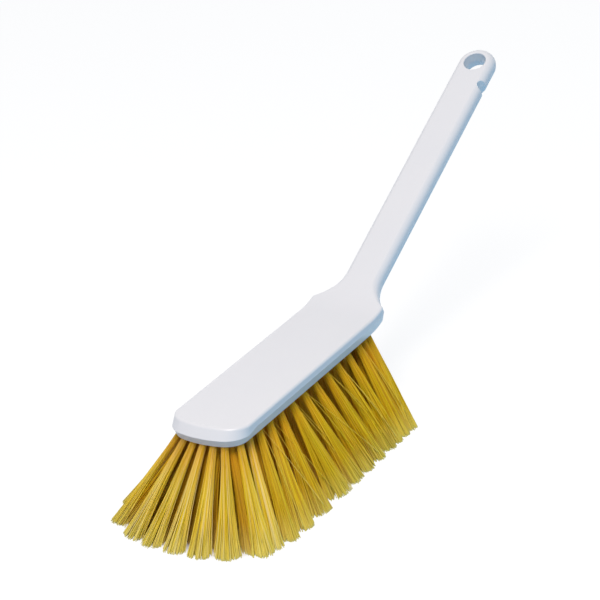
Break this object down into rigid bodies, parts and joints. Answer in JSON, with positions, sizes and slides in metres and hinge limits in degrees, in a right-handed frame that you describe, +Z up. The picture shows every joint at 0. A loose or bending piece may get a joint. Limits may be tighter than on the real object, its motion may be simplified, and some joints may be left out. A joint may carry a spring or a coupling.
{
  "type": "hand broom",
  "caption": "Hand broom: a one-piece plastic block and angled handle with a hanging hole and a rail notch, and tufts of splayed bristles in its underside.",
  "frame": {"origin": "on the plane of the bristle tips, under the middle of the whole broom's bounding box", "axes": "+X from the block's front towards the handle's end, +Z up from the bristle tips to the handle, +Y to the left seen from behind the handle; the rail notch is on the -Y edge"},
  "size_m": [0.3938, 0.112, 0.1509],
  "materials": {
    "moulding_plastic": "satin white polypropylene",
    "bristle_filament": "soft sheen, golden yellow filament"
  },
  "bodies": {
    "root": {"block_and_handle": "moulding_plastic", "tuft_front_1": "bristle_filament", "tuft_front_left_1": "bristle_filament", "tuft_front_left_2": "bristle_filament", "tuft_front_right_1": "bristle_filament", "tuft_front_right_2": "bristle_filament", "tuft_side_left_01": "bristle_filament", "tuft_side_left_02": "bristle_filament", "tuft_side_left_03": "bristle_filament", "tuft_side_left_04": "bristle_filament", "tuft_side_left_05": "bristle_filament", "tuft_side_left_06": "bristle_filament", "tuft_side_left_07": "bristle_filament", "tuft_side_left_08": "bristle_filament", "tuft_side_left_09": "bristle_filament", "tuft_side_left_10": "bristle_filament", "tuft_side_left_11": "bristle_filament", "tuft_side_left_12": "bristle_filament", "tuft_side_left_13": "bristle_filament", "tuft_side_right_01": "bristle_filament", "tuft_side_right_02": "bristle_filament", "tuft_side_right_03": "bristle_filament", "tuft_side_right_04": "bristle_filament", "tuft_side_right_05": "bristle_filament", "tuft_side_right_06": "bristle_filament", "tuft_side_right_07": "bristle_filament", "tuft_side_right_08": "bristle_filament", "tuft_side_right_09": "bristle_filament", "tuft_side_right_10": "bristle_filament", "tuft_side_right_11": "bristle_filament", "tuft_side_right_12": "bristle_filament", "tuft_side_right_13": "bristle_filament", "tuft_inner_left_01": "bristle_filament", "tuft_inner_left_02": "bristle_filament", "tuft_inner_left_03": "bristle_filament", "tuft_inner_left_04": "bristle_filament", "tuft_inner_left_05": "bristle_filament", "tuft_inner_left_06": "bristle_filament", "tuft_inner_left_07": "bristle_filament", "tuft_inner_left_08": "bristle_filament", "tuft_inner_left_09": "bristle_filament", "tuft_inner_left_10": "bristle_filament", "tuft_inner_left_11": "bristle_filament", "tuft_inner_left_12": "bristle_filament", "tuft_inner_right_01": "bristle_filament", "tuft_inner_right_02": "bristle_filament", "tuft_inner_right_03": "bristle_filament", "tuft_inner_right_04": "bristle_filament", "tuft_inner_right_05": "bristle_filament", "tuft_inner_right_06": "bristle_filament", "tuft_inner_right_07": "bristle_filament", "tuft_inner_right_08": "bristle_filament", "tuft_inner_right_09": "bristle_filament", "tuft_inner_right_10": "bristle_filament", "tuft_inner_right_11": "bristle_filament", "tuft_inner_right_12": "bristle_filament", "tuft_middle_1": "bristle_filament", "tuft_middle_2": "bristle_filament", "tuft_middle_3": "bristle_filament", "tuft_middle_4": "bristle_filament"}
  },
  "joints": []
}
